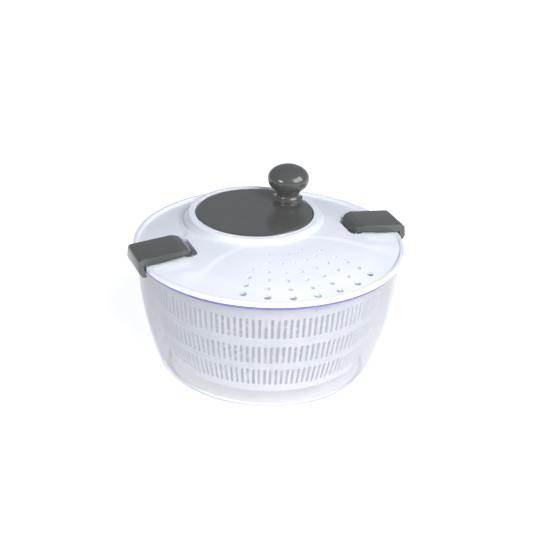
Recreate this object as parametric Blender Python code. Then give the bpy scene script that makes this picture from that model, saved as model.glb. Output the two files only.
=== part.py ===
"""Salad spinner: clear bowl, slotted basket, domed lid with an offset geared crank and two rim clips.

Lengths are millimetres and angles degrees, as on a drawing; MM turns lengths into Blender's metres.
The origin is the middle of the bowl's foot. +Z is up, the clips are on +X and -X, the crank is
offset towards +Y and the pouring strainer is towards -Y.
"""

from math import acos, cos, pi, radians, sin, sqrt, tan

import bmesh
import bpy
from mathutils import Matrix, Vector

MM = 0.001
GAP = 0.3  # running and resting gap between neighbouring pieces

# Driving dimensions
RIM_RADIUS = 124.3
BOWL_HEIGHT = 119.2
FOOT_RADIUS = 91.0
LID_RADIUS = 126.2
DOME_TOP = 134.5
DOME_RISE = 11.5
DOME_RADIUS = 122.0
CRANK_OFFSET = 39.0
CRANK_RADIUS = 55.6
CRANK_TOP = 138.6
KNOB_ORBIT = 41.0
KNOB_ANGLE = 18.4
CLIP_WIDTH = 36.0

# Round shapes: how many flats each circle has
LARGE, MEDIUM, SMALL, TINY = 48, 32, 20, 12

# Gears: an internal ring under the crank turns a pinion on the lid's own axis
MODULE = 2.0
RING_TEETH = 51
PINION_TEETH = 12
PRESSURE_ANGLE = radians(25)
ADDENDUM = 0.8 * MODULE
DEDENDUM = 1.0 * MODULE
BACKLASH = 0.2
GEAR_BOTTOM = 124.6
GEAR_TOP = 131.0

# Bowl
BOWL_WALL = 2.2
BOWL_BASE_RADIUS = 102.0
WALL_TOP_RADIUS = 122.3
WALL_BULGE = 16.7
WALL_FOOT = 9.0
WALL_TOP = 112.0
FLANGE_UNDER = 116.6
FOOT_RECESS = 1.5
FOOT_WIDTH = 4.5
BOWL_FLOOR = 3.8
BOWL_CORNER = ((98.0, 3.8), (101.0, 6.2))
BOWL_INNER_CORNER = ((97.5, 7.2), (92.0, 4.6), (88.0, BOWL_FLOOR))
PIVOT_TOP = 16.0
PIVOT = ((9.0, BOWL_FLOOR), (5.0, 6.0), (3.4, PIVOT_TOP - 1.6), (1.8, PIVOT_TOP - 0.3))

# Basket
BASKET_WALL = 1.6
BASKET_BASE_RADIUS = 89.3
BASKET_RIM_RADIUS = 110.3
BASKET_BULGE = 14.6
BASKET_FLOOR = 15.0
BASKET_CORNER = 4.0
BASKET_RIM = 108.0
SLOTS = 36
BANDS = ((24.6, 43.0), (50.6, 69.2), (78.4, 98.8))
FLOOR_TOP = 16.9
FLOOR_SLOTS = 24
FLOOR_SLOT_SIZE = (40.0, 4.0, 8.0)
FLOOR_SLOT_ORBIT = 55.0
HUB_BORE = 7.0
HUB_TOP = 22.6
NOTCHES = 4
NOTCH_DEPTH = 4.0
NOTCH_ANGLE = 360.0 / SLOTS
BEARING_RADIUS = 6.6
BEARING_FOOT = 8.0

# Lid
LID_WALL = 2.0
LIP_TOP = 124.2
SKIRT_RADIUS = 119.2
SKIRT_BOTTOM = 112.5
COLLAR_RADIUS = 64.6
COLLAR_TOP = 138.0
COLLAR_BORE = 56.4
COLLAR_WALL = 2.0
COVER_TOP = 123.5
COVER_WALL = 1.8
SCREW_ORBIT = 60.4
SCREW_ANGLE = 50.0
SCREW_BOSS_RADIUS = 3.3
SCREW_PILOT_RADIUS = 1.6
HOLE_ROWS = ((113.6, 2.4), (101.8, 1.7), (89.4, 1.5), (76.4, 1.4), (61.0, 1.2))
HOLE_COLUMNS = 7
HOLE_STEP = 11.35
HOLE_MIDDLE = -88.8
HOLE_SAG = 0.45  # how fast a row's orbit shrinks away from the middle column
THROUGH = (100.0, 145.0)  # heights that an upright cutter spans to pass right through the lid

# Clips
HINGE_X = 82.0
HINGE_Z = 128.2
BARREL_RADIUS = 4.4
PIN_RADIUS = 1.3
HOOK_SWING = 44.18  # inside radius of the hook about its hinge, which clears the bowl's rim
HOOK_BOTTOM = 111.2
CLIP_OUTER = 132.1
CLIP_INNER_TOP = (85.6, 134.8)
CLIP_CHEEK = 2.0
CLIP_RELIEF = ((93.0, 120.0), (93.0, 132.0), (124.0, 128.6), (124.0, 120.0))
NOTCH_X = 124.0
POCKET_SIDE_GAP = 0.6
POCKET_X = (75.3, 87.6)
POCKET_FLOOR = 121.6
TRAY_WALL = 2.0
CLIPS = (("right_clip", 1), ("left_clip", -1))
TRAY_PROFILE = ((73.5, 119.8), (89.4, 119.8), (89.4, 127.3), (73.5, 129.5))

# Crank
COVER_SKIRT = 133.5
KNOB_BOSS = ((0.0, CRANK_TOP - 1), (14.2, CRANK_TOP - 1), (14.2, 140.4), (13.2, 141.3), (0.0, 141.3))
KNOB_BORE_RADIUS = 3.4
KNOB_BORE_SPAN = (130.0, 150.0)
KNOB_RADIUS = 20.0
KNOB_WAIST = 162.7
KNOB_LOW = 13.3
KNOB_HIGH = 13.0
KNOB_NECK = ((KNOB_BORE_RADIUS, 141.6), (12.4, 141.6), (12.6, 142.4), (10.8, 144.8), (10.2, 149.0))
KNOB_SOCKET = ((0.0, 159.0), (5.2, 159.0), (5.2, 152.6), (KNOB_BORE_RADIUS, 152.6))
SPINDLE = (
    (0.0, 134.0),
    (5.2, 134.0),
    (5.2, 136.2),
    (3.0, 136.2),
    (3.0, 153.0),
    (4.6, 153.6),
    (3.0, 157.6),
    (0.0, 157.6),
)

# Gear case
AXLE_RADIUS = 3.0
AXLE_THREAD_RADIUS = 2.3
AXLE = (
    (0.0, 115.8),
    (5.5, 115.8),
    (5.5, 117.4),
    (AXLE_RADIUS, 117.4),
    (AXLE_RADIUS, 133.7),
    (AXLE_THREAD_RADIUS, 133.7),
    (AXLE_THREAD_RADIUS, 124.0),
    (0.0, 124.0),
)
CRANK_SCREW = (
    (0.0, 125.0),
    (2.0, 125.0),
    (2.0, 134.9),
    (4.2, 134.9),
    (4.2, 135.6),
    (3.0, 136.2),
    (0.0, 136.2),
)
PINION_BUSH = ((4.3, 116.6), (6.0, 116.6), (6.0, 123.8), (7.8, 123.8), (7.8, 124.3), (4.3, 124.3))
CRANK_BUSH = (AXLE_RADIUS + GAP, 5.0, 125.8, 133.6)
CRANK_WASHER = (AXLE_THREAD_RADIUS, 6.8, 134.0, 134.6)
AXLE_BOSS = (6.5, 117.7, 125.5)
BUSH_BOSS = (8.6, 117.0, COVER_TOP - 0.5)
BUSH_BORE_RADIUS = 6.3
COVER_HOLE_RADIUS = 1.9
RING_GEAR = (CRANK_RADIUS - 0.4, 124.4, 133.2)
RING_HUB = (8.0, 125.9, 132.4)
RING_BORE_RADIUS = 5.3
RING_CUT_BOTTOM = 120.0
SHAFT = (4.0, 113.0, GEAR_BOTTOM + 3)
HEXAGON = (4.0, 107.5, 114.0)
SHAFT_THREAD = (1.9, 100.0, 115.0)

# Drive plate
DRIVE_RADIUS = 112.5
DRIVE_BORE = 101.0
DRIVE_BOTTOM = 109.3
DRIVE_TOP = 112.3
SPOKE_HALF_WIDTH = 5.0
DRIVE_HUB = (9.0, 106.8, 112.7)
LUG_X = (107.6, 111.8)
LUG_HALF_WIDTH = 6.6
LUG_BOTTOM = BASKET_RIM - 3.4
HEXAGON_BORE_RADIUS = 4.4
DRIVE_SCREW = (
    (0.0, 104.7),
    (3.5, 104.7),
    (5.4, 105.4),
    (5.4, 106.5),
    (1.6, 106.5),
    (1.6, 113.4),
    (0.0, 114.2),
)


def clear_scene():
    for obj in list(bpy.data.objects):
        bpy.data.objects.remove(obj)


def make_material(name, colour, roughness, metallic=0.0, alpha=1.0):
    material = bpy.data.materials.new(name)
    material.use_nodes = True
    shader = material.node_tree.nodes["Principled BSDF"]
    shader.inputs["Base Color"].default_value = (*colour, 1.0)
    shader.inputs["Roughness"].default_value = roughness
    shader.inputs["Metallic"].default_value = metallic
    shader.inputs["Alpha"].default_value = alpha
    return material


def add_object(name, bm, material=None):
    """Turns a bmesh in millimetres into a smooth-shaded object in metres."""
    bmesh.ops.remove_doubles(bm, verts=bm.verts, dist=1e-4)
    bmesh.ops.recalc_face_normals(bm, faces=bm.faces)
    bmesh.ops.transform(bm, matrix=Matrix.Scale(MM, 4), verts=bm.verts)
    mesh = bpy.data.meshes.new(name)
    bm.to_mesh(mesh)
    bm.free()
    mesh.shade_smooth()
    mesh.set_sharp_from_angle(angle=radians(30))
    obj = bpy.data.objects.new(name, mesh)
    bpy.context.scene.collection.objects.link(obj)
    if material:
        mesh.materials.append(material)
    return obj


def as_helper(obj):
    """Keeps a cutter or a joined shape out of the part itself."""
    obj.hide_render = True
    obj.display_type = "WIRE"
    return obj


def combine(obj, other, operation):
    modifier = obj.modifiers.new(other.name, "BOOLEAN")
    modifier.solver = "EXACT"
    modifier.operation = operation
    modifier.object = as_helper(other)
    return obj


def cut(obj, cutter):
    return combine(obj, cutter, "DIFFERENCE")


def join(obj, other):
    return combine(obj, other, "UNION")


def place(obj, x, y, z=0.0):
    obj.location = (x * MM, y * MM, z * MM)
    return obj


def turned(name, profile, flats, material=None):
    """A solid of revolution about Z, from a profile of (radius, z) points.

    A profile that starts and ends on the axis stays open; any other is closed into a ring.
    """
    bm = bmesh.new()
    points = [bm.verts.new((r, 0, z)) for r, z in profile]
    edges = [bm.edges.new(pair) for pair in zip(points, points[1:])]
    if profile[0][0] > 0:
        edges.append(bm.edges.new((points[-1], points[0])))
    bmesh.ops.spin(
        bm,
        geom=points + edges,
        cent=(0, 0, 0),
        axis=(0, 0, 1),
        angle=2 * pi,
        steps=flats,
        use_merge=True,
    )
    return add_object(name, bm, material)


def cylinder(name, radius, low, high, flats, material=None):
    profile = ((0, low), (radius, low), (radius, high), (0, high))
    return turned(name, profile, flats, material)


def tube(name, inner, outer, low, high, flats, material=None):
    profile = ((inner, low), (outer, low), (outer, high), (inner, high))
    return turned(name, profile, flats, material)


def prism(name, outline, low, high, material=None):
    """An outline of (x, y) points, extruded from z = low to z = high."""
    bm = bmesh.new()
    face = bm.faces.new([bm.verts.new((x, y, low)) for x, y in outline])
    grown = bmesh.ops.extrude_face_region(bm, geom=[face])
    top = [v for v in grown["geom"] if isinstance(v, bmesh.types.BMVert)]
    bmesh.ops.translate(bm, verts=top, vec=(0, 0, high - low))
    return add_object(name, bm, material)


def side_prism(name, outline, half_width, material=None):
    """An outline of (x, z) points, extruded from y = -half_width to y = half_width."""
    bm = bmesh.new()
    face = bm.faces.new([bm.verts.new((x, -half_width, z)) for x, z in outline])
    grown = bmesh.ops.extrude_face_region(bm, geom=[face])
    far = [v for v in grown["geom"] if isinstance(v, bmesh.types.BMVert)]
    bmesh.ops.translate(bm, verts=far, vec=(0, 2 * half_width, 0))
    return add_object(name, bm, material)


def block(name, x, y, z, material=None):
    """A box between the (low, high) pairs x, y and z."""
    bm = bmesh.new()
    bmesh.ops.create_cube(bm, size=1)
    size = Vector((x[1] - x[0], y[1] - y[0], z[1] - z[0]))
    middle = Vector((x[0] + x[1], y[0] + y[1], z[0] + z[1])) / 2
    bmesh.ops.scale(bm, vec=size, verts=bm.verts)
    bmesh.ops.translate(bm, vec=middle, verts=bm.verts)
    return add_object(name, bm, material)


def arc(centre, radius, start, stop, steps):
    """Points on a circle, from one angle to another, both ends included."""
    for i in range(steps + 1):
        angle = radians(start + (stop - start) * i / steps)
        yield centre[0] + radius * cos(angle), centre[1] + radius * sin(angle)


def around(count, start=0.0):
    return (start + 360 * i / count for i in range(count))


def flared(z, low, high, low_radius, high_radius, bulge):
    """Radius at a height of a wall that flares from low to high and bulges outwards between them."""
    up = (z - low) / (high - low)
    return low_radius + (high_radius - low_radius) * up + bulge * up * (1 - up)


def bowl_radius(z):
    """Outer radius of the bowl's wall at a height."""
    return flared(z, WALL_FOOT, WALL_TOP, BOWL_BASE_RADIUS, WALL_TOP_RADIUS, WALL_BULGE)


def basket_radius(z):
    """Outer radius of the basket's wall at a height."""
    return flared(z, WALL_FOOT, BASKET_RIM, BASKET_BASE_RADIUS, BASKET_RIM_RADIUS, BASKET_BULGE)


def dome(radius):
    """Height of the lid's top surface at a distance from its axis."""
    return DOME_TOP - DOME_RISE * (radius / DOME_RADIUS) ** 2


# Bowl and basket


def make_bowl(clear):
    wall_heights = (WALL_FOOT, 20, 38, 58, 82, WALL_TOP)
    foot_inside = FOOT_RADIUS - FOOT_WIDTH
    outer = [(0, FOOT_RECESS), (foot_inside - 0.5, FOOT_RECESS), (foot_inside, 0), (FOOT_RADIUS, 0)]
    outer += [*BOWL_CORNER, *[(bowl_radius(z), z) for z in wall_heights]]
    flange = [(RIM_RADIUS, FLANGE_UNDER), (RIM_RADIUS, BOWL_HEIGHT)]
    inner = [(WALL_TOP_RADIUS - BOWL_WALL, BOWL_HEIGHT)]
    inner += [(bowl_radius(z) - BOWL_WALL, z) for z in reversed(wall_heights[1:])]
    inner += [*BOWL_INNER_CORNER, *PIVOT, (0, PIVOT_TOP)]
    return turned("bowl", outer + flange + inner, LARGE, clear)


def make_basket_wall(white):
    """The slotted wall: a sheet of quads without those of the slots and notches, given its thickness."""
    columns = 2 * SLOTS
    profile = [(basket_radius(BASKET_FLOOR) - BASKET_CORNER, BASKET_FLOOR)]
    rows = [BASKET_FLOOR + BASKET_CORNER, *[z for band in BANDS for z in band]]
    rows += [BASKET_RIM - NOTCH_DEPTH, BASKET_RIM]
    profile += [(basket_radius(z), z) for z in rows]
    bm = bmesh.new()
    rings = [
        [bm.verts.new((x, y, z)) for x, y in list(arc((0, 0), r, 0, 360, columns))[:-1]]
        for r, z in profile
    ]
    slot_rows = {low for low, high in BANDS}
    for low_ring, high_ring, (r, z) in zip(rings, rings[1:], profile):
        for i in range(columns):
            slot = z in slot_rows and i % 2
            notch = z == BASKET_RIM - NOTCH_DEPTH and i % (columns // NOTCHES) < 2
            if slot or notch:
                continue
            j = (i + 1) % columns
            bm.faces.new((low_ring[i], low_ring[j], high_ring[j], high_ring[i]))
    basket = add_object("basket", bm, white)
    solidify = basket.modifiers.new("wall", "SOLIDIFY")
    solidify.thickness = BASKET_WALL * MM
    solidify.offset = -1
    solidify.use_even_offset = True
    return basket


def make_basket(white):
    """The slotted wall with its floor and hub, and the floor's slots."""
    basket = make_basket_wall(white)
    edge = basket_radius(BASKET_FLOOR) - BASKET_CORNER - 0.7
    low = BASKET_FLOOR + GAP
    floor = [(0, HUB_TOP - 2), (HUB_BORE, HUB_TOP - 2), (HUB_BORE, low), (edge, low), (edge, FLOOR_TOP)]
    floor += [(HUB_BORE + 3, FLOOR_TOP), (HUB_BORE + 2, HUB_TOP), (0, HUB_TOP)]
    join(basket, turned("basket_floor", floor, LARGE))
    slots = bmesh.new()
    for angle in around(FLOOR_SLOTS, 180 / FLOOR_SLOTS):
        turn = Matrix.Rotation(radians(angle), 4, "Z")
        made = bmesh.ops.create_cube(slots, size=1)["verts"]
        shape = Matrix.Translation((FLOOR_SLOT_ORBIT, 0, BASKET_FLOOR)) @ Matrix.Diagonal((*FLOOR_SLOT_SIZE, 1))
        bmesh.ops.transform(slots, matrix=turn @ shape, verts=made)
    return cut(basket, add_object("basket_floor_slots", slots))


def make_bearing(acetal):
    """A cup that sits over the bowl's pivot and carries the basket's hub."""
    inside = [(0, PIVOT_TOP + 2 * GAP), (3.4, PIVOT_TOP + 0.2), (5.2, BEARING_FOOT)]
    high = HUB_TOP - 2 - GAP
    outside = [(BEARING_RADIUS, BEARING_FOOT), (BEARING_RADIUS, high - 1), (BEARING_RADIUS - 1, high), (0, high)]
    return turned("basket_bearing", inside + outside, SMALL, acetal)


# Lid


def lid_profile():
    top_radii = (0, 50, 90, DOME_RADIUS)
    top = [(r, dome(r)) for r in top_radii]
    top += [(DOME_RADIUS + 0.8, LIP_TOP), (LID_RADIUS - 1, LIP_TOP), (LID_RADIUS, LIP_TOP - 1)]
    rest = BOWL_HEIGHT + GAP
    inside = SKIRT_RADIUS - LID_WALL
    under = [(LID_RADIUS, rest), (SKIRT_RADIUS, rest), (SKIRT_RADIUS, SKIRT_BOTTOM)]
    under += [(inside, SKIRT_BOTTOM), (inside, dome(inside) - LID_WALL)]
    under += [(r, dome(r) - LID_WALL) for r in reversed(top_radii[:-1])]
    return top + under


def collar_profile():
    """A hollow rim around the crank: two legs under one flat top."""
    low, outer = COVER_TOP + GAP, COLLAR_RADIUS - COLLAR_WALL
    outside = [(COLLAR_RADIUS, low), (COLLAR_RADIUS, COLLAR_TOP - 1.5)]
    outside += [(COLLAR_RADIUS - 1.5, COLLAR_TOP), (COLLAR_BORE, COLLAR_TOP)]
    inside = [(COLLAR_BORE, low), (COLLAR_BORE + COLLAR_WALL, low)]
    inside += [(COLLAR_BORE + COLLAR_WALL, COLLAR_TOP - COLLAR_WALL)]
    inside += [(outer, COLLAR_TOP - COLLAR_WALL), (outer, low)]
    return outside + inside


def screw_places():
    """Centre of each screw that holds the gear cover."""
    for angle in around(4, SCREW_ANGLE):
        turn = radians(angle)
        yield SCREW_ORBIT * cos(turn), CRANK_OFFSET + SCREW_ORBIT * sin(turn)


def make_strainer_holes():
    """A fan of holes that grow towards the rim."""
    bm = bmesh.new()
    for column in range(HOLE_COLUMNS):
        across = column - (HOLE_COLUMNS - 1) / 2
        turn = Matrix.Rotation(radians(HOLE_MIDDLE + HOLE_STEP * across), 4, "Z")
        for middle_orbit, radius in HOLE_ROWS:
            orbit = middle_orbit - HOLE_SAG * across**2
            at = turn @ Matrix.Translation((orbit, 0, dome(orbit)))
            bmesh.ops.create_cone(
                bm, cap_ends=True, segments=6, radius1=radius, radius2=radius, depth=9, matrix=at
            )
    return add_object("strainer_holes", bm)


def add_crank_opening(lid):
    """Opens the dome for the crank, and adds the collar and the bosses of the cover's screws."""
    opening = cylinder("crank_opening", COLLAR_RADIUS - 1.1, *THROUGH, LARGE)
    cut(lid, place(opening, 0, CRANK_OFFSET))
    join(lid, place(turned("collar", collar_profile(), LARGE), 0, CRANK_OFFSET))
    for i, at in enumerate(screw_places()):
        low, high = COVER_TOP + 2 * GAP, COLLAR_TOP - 1
        join(lid, place(cylinder(f"screw_boss_{i}", SCREW_BOSS_RADIUS, low, high, TINY), *at))
        low, high = COVER_TOP - 5, COLLAR_TOP - 4
        cut(lid, place(cylinder(f"screw_pilot_{i}", SCREW_PILOT_RADIUS, low, high, TINY), *at))


def add_clip_seat(lid, name, side):
    """The pocket for a clip's barrel, the tray under it, the pin's bore and the notch in the lip."""
    inside = CLIP_WIDTH / 2 + POCKET_SIDE_GAP
    tray = side_prism(f"{name}_tray", TRAY_PROFILE, inside + TRAY_WALL)
    pocket = block(f"{name}_pocket", POCKET_X, (-inside, inside), (POCKET_FLOOR, THROUGH[1]))
    half = inside + 0.2
    notch = block(f"{name}_notch", (NOTCH_X, LID_RADIUS + 10), (-half, half), THROUGH)
    join(lid, turn_side(tray, side))
    cut(lid, turn_side(pocket, side))
    cut(lid, turn_side(notch, side))
    cut(lid, hinge_bore(name, side))


def make_lid(white):
    lid = turned("lid_shell", lid_profile(), LARGE, white)
    add_crank_opening(lid)
    for name, side in CLIPS:
        add_clip_seat(lid, name, side)
    return cut(lid, make_strainer_holes())


def make_gear_cover(white):
    """The plate that closes the gear case from below and carries both axles."""
    low = COVER_TOP - COVER_WALL
    cover = cylinder("gear_cover", COLLAR_RADIUS - 0.4, low, COVER_TOP, LARGE, white)
    place(cover, 0, CRANK_OFFSET)
    join(cover, place(cylinder("axle_boss", *AXLE_BOSS, SMALL), 0, CRANK_OFFSET))
    join(cover, cylinder("bush_boss", *BUSH_BOSS, SMALL))
    cut(cover, place(cylinder("axle_bore", AXLE_RADIUS + GAP, *THROUGH, SMALL), 0, CRANK_OFFSET))
    cut(cover, cylinder("bush_bore", BUSH_BORE_RADIUS, *THROUGH, SMALL))
    for i, at in enumerate(screw_places()):
        cut(cover, place(cylinder(f"cover_hole_{i}", COVER_HOLE_RADIUS, *THROUGH, TINY), *at))
    return cover


def make_cover_screws(steel):
    seat, tip = COVER_TOP - COVER_WALL - GAP, COLLAR_TOP - 5.6
    head = [(0, seat - 1.4), (1.9, seat - 1.4), (2.9, seat - 0.7), (2.9, seat)]
    shank = [(1.3, seat), (1.3, tip - 1), (0, tip)]
    for i, at in enumerate(screw_places()):
        place(turned(f"cover_screw_{i + 1}", head + shank, TINY, steel), *at)


# Crank and gears


def involute(angle):
    return tan(angle) - angle


def tooth_half_angle(teeth, pitch_radius, radius, widening):
    """Half of the angle that a tooth, or an internal gear's tooth space, takes up at a radius."""
    base = pitch_radius * cos(PRESSURE_ANGLE)
    at_pitch = pi / (2 * teeth) + widening / (2 * pitch_radius)
    flank = involute(acos(min(1.0, base / radius)))
    return at_pitch + involute(PRESSURE_ANGLE) - flank


def gear_outline(teeth, inner, outer, widening, flank_steps):
    """Outline of a gear whose first tooth, or tooth space, points along -Y."""
    pitch_radius = MODULE * teeth / 2
    start = max(inner, pitch_radius * cos(PRESSURE_ANGLE))
    radii = [start + (outer - start) * i / flank_steps for i in range(flank_steps + 1)]
    halves = [(r, tooth_half_angle(teeth, pitch_radius, r, widening)) for r in radii]
    if inner < start:
        halves.insert(0, (inner, halves[0][1]))
    outline = []
    for tooth in range(teeth):
        middle = -pi / 2 + 2 * pi * tooth / teeth
        rising = [(r, middle - half) for r, half in halves]
        falling = [(r, middle + half) for r, half in reversed(halves)]
        outline += [(r * cos(a), r * sin(a)) for r, a in rising + falling]
    return outline


def make_ring_gear(acetal):
    pitch = MODULE * RING_TEETH / 2
    gear = place(cylinder("ring_gear", *RING_GEAR, LARGE, acetal), 0, CRANK_OFFSET)
    spaces = gear_outline(RING_TEETH, pitch - ADDENDUM, pitch + DEDENDUM, BACKLASH, 2)
    teeth = prism("ring_teeth", spaces, RING_CUT_BOTTOM, GEAR_TOP + 2 * GAP)
    cut(gear, place(teeth, 0, CRANK_OFFSET))
    join(gear, place(cylinder("ring_hub", *RING_HUB, SMALL), 0, CRANK_OFFSET))
    return cut(gear, place(cylinder("ring_bore", RING_BORE_RADIUS, *THROUGH, SMALL), 0, CRANK_OFFSET))


def make_pinion(acetal):
    """The pinion, its shaft, and the hexagon that the drive plate hangs on."""
    pitch = MODULE * PINION_TEETH / 2
    teeth = gear_outline(PINION_TEETH, pitch - DEDENDUM, pitch + ADDENDUM, -BACKLASH, 3)
    pinion = prism("pinion", teeth, GEAR_BOTTOM, GEAR_TOP, acetal)
    join(pinion, cylinder("pinion_shaft", *SHAFT, SMALL))
    join(pinion, cylinder("pinion_hexagon", *HEXAGON, 6))
    return cut(pinion, cylinder("pinion_thread", *SHAFT_THREAD, TINY))


def make_axles(steel, brass):
    """The crank's axle, its bush, washer and screw, and the pinion's bush."""
    place(turned("crank_axle", AXLE, SMALL, steel), 0, CRANK_OFFSET)
    place(tube("crank_bush", *CRANK_BUSH, SMALL, brass), 0, CRANK_OFFSET)
    place(tube("crank_washer", *CRANK_WASHER, SMALL, steel), 0, CRANK_OFFSET)
    place(turned("crank_screw", CRANK_SCREW, SMALL, steel), 0, CRANK_OFFSET)
    turned("pinion_bush", PINION_BUSH, SMALL, brass)


def knob_place():
    angle = radians(KNOB_ANGLE)
    return KNOB_ORBIT * cos(angle), CRANK_OFFSET + KNOB_ORBIT * sin(angle)


def make_crank_cover(grey):
    """The visible disc, a shell with a skirt that stands on the ring gear, and the knob's boss."""
    inside, under = CRANK_RADIUS - 2.2, CRANK_TOP - 2
    edge = [(0, CRANK_TOP), (CRANK_RADIUS - 1.2, CRANK_TOP), (CRANK_RADIUS, CRANK_TOP - 1)]
    edge += [(CRANK_RADIUS, COVER_SKIRT), (inside, COVER_SKIRT), (inside, under), (0, under)]
    cover = place(turned("crank_cover", edge, LARGE, grey), 0, CRANK_OFFSET)
    join(cover, place(turned("knob_boss", KNOB_BOSS, MEDIUM), *knob_place()))
    return cut(cover, place(cylinder("knob_bore", KNOB_BORE_RADIUS, *KNOB_BORE_SPAN, TINY), *knob_place()))


def make_knob(grey, steel):
    """A rounded knob that snaps over the barb of its spindle and turns on it."""
    ball = [
        (KNOB_RADIUS * cos(angle), KNOB_WAIST + (KNOB_LOW if angle < 0 else KNOB_HIGH) * sin(angle))
        for angle in (radians(15 * step) for step in range(-3, 6))
    ]
    top = [(0, KNOB_WAIST + KNOB_HIGH)]
    knob = turned("crank_knob", [*KNOB_SOCKET, *KNOB_NECK, *ball, *top], MEDIUM, grey)
    place(knob, *knob_place())
    place(turned("knob_spindle", SPINDLE, TINY, steel), *knob_place())


# Drive plate


def make_drive_plate(white):
    plate = tube("drive_plate", DRIVE_BORE, DRIVE_RADIUS, DRIVE_BOTTOM, DRIVE_TOP, LARGE, white)
    reach, side = DRIVE_BORE + 2, (-SPOKE_HALF_WIDTH, SPOKE_HALF_WIDTH)
    for name, turn in (("spokes_x", pi / 4), ("spokes_y", -pi / 4)):
        spokes = block(name, (-reach, reach), side, (DRIVE_BOTTOM + 0.4, DRIVE_TOP - 0.2))
        spokes.rotation_euler = (0, 0, turn)
        join(plate, spokes)
    join(plate, cylinder("drive_hub", *DRIVE_HUB, SMALL))
    for i, angle in enumerate(around(NOTCHES, NOTCH_ANGLE / 2)):
        lug = block(f"lug_{i}", LUG_X, (-LUG_HALF_WIDTH, LUG_HALF_WIDTH), (LUG_BOTTOM, DRIVE_BOTTOM + 1))
        lug.rotation_euler = (0, 0, radians(angle))
        join(plate, lug)
    return cut(plate, cylinder("hexagon_bore", HEXAGON_BORE_RADIUS, *THROUGH, 6))


# Clips


def turn_side(obj, side):
    """Turns a shape made for +X round to -X."""
    obj.rotation_euler = (0, 0, 0 if side > 0 else pi)
    return obj


def lie_along_hinge(obj, side):
    """Lays an upright round shape along a clip's hinge axis."""
    obj.rotation_euler = (pi / 2, 0, 0)
    return place(obj, side * HINGE_X, 0, HINGE_Z)


def hinge_bore(name, side):
    bore = cylinder(f"{name}_bore", PIN_RADIUS + GAP, -CLIP_WIDTH, CLIP_WIDTH, TINY)
    return lie_along_hinge(bore, side)


def clip_profile():
    """Side outline of the right clip: barrel, sloping nose, flat top, and a hook round the rim."""
    nose = list(arc((HINGE_X, HINGE_Z), BARREL_RADIUS, 20, -220, 12))
    top = [CLIP_INNER_TOP, (CLIP_OUTER - 1.0, 130.0), (CLIP_OUTER, 129.0)]
    hook = [(CLIP_OUTER + 0.1, 118.4), (130.6, 114.6), (127.4, HOOK_BOTTOM)]
    swing = []
    for z in (HOOK_BOTTOM, 114.2, FLANGE_UNDER, BOWL_HEIGHT):
        swing.append((HINGE_X + sqrt(HOOK_SWING**2 - (HINGE_Z - z) ** 2), z))
    under = [(126.6, 121.4), (126.6, LIP_TOP + 1.0), (DOME_RADIUS, LIP_TOP + 0.6)]
    under += [(r, dome(r) + 0.5) for r in (112, 101, 90)]
    return nose + top + hook + swing + under


def make_clip(name, side, grey):
    clip = side_prism(name, clip_profile(), CLIP_WIDTH / 2, grey)
    relief = side_prism(f"{name}_relief", CLIP_RELIEF, CLIP_WIDTH / 2 - CLIP_CHEEK)
    cut(clip, turn_side(relief, side))
    cut(clip, hinge_bore(f"{name}_clip", side))
    return turn_side(clip, side)


def make_clip_pin(name, side, steel):
    half = CLIP_WIDTH / 2 + POCKET_SIDE_GAP + TRAY_WALL - GAP
    return lie_along_hinge(cylinder(name, PIN_RADIUS, -half, half, TINY, steel), side)


def main():
    clear_scene()
    clear = make_material("clear_plastic", (0.86, 0.88, 0.97), 0.06, alpha=0.3)
    white = make_material("white_plastic", (0.86, 0.88, 0.93), 0.3)
    natural = make_material("basket_plastic", (0.88, 0.9, 0.93), 0.35)
    acetal = make_material("acetal", (0.9, 0.9, 0.88), 0.35)
    grey = make_material("grey_plastic", (0.11, 0.11, 0.11), 0.22)
    steel = make_material("steel", (0.62, 0.62, 0.63), 0.3, metallic=1.0)
    brass = make_material("brass", (0.72, 0.55, 0.28), 0.35, metallic=1.0)
    make_bowl(clear)
    make_basket(natural)
    make_bearing(acetal)
    make_lid(white)
    make_gear_cover(white)
    make_cover_screws(steel)
    make_ring_gear(acetal)
    make_pinion(acetal)
    make_axles(steel, brass)
    make_crank_cover(grey)
    make_knob(grey, steel)
    make_drive_plate(white)
    turned("drive_screw", DRIVE_SCREW, TINY, steel)
    for name, side in CLIPS:
        make_clip(name, side, grey)
        make_clip_pin(f"{name}_pin", side, steel)


main()
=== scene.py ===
"""Finished looks of the salad spinner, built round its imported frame.

Sizes are millimetres and angles are degrees, as on a drawing, and MM turns lengths into metres.
The clips are on +X and -X, the crank is offset towards +Y, and the strainer is towards -Y.
"""

import logging
from abc import ABC, abstractmethod
from dataclasses import dataclass, field
from enum import Enum
from math import atan2, cos, degrees, hypot, pi, radians, sin, sqrt
from operator import attrgetter
from typing import Any, ClassVar, Sequence

import bpy
from mathutils import Euler, Matrix, Vector


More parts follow.
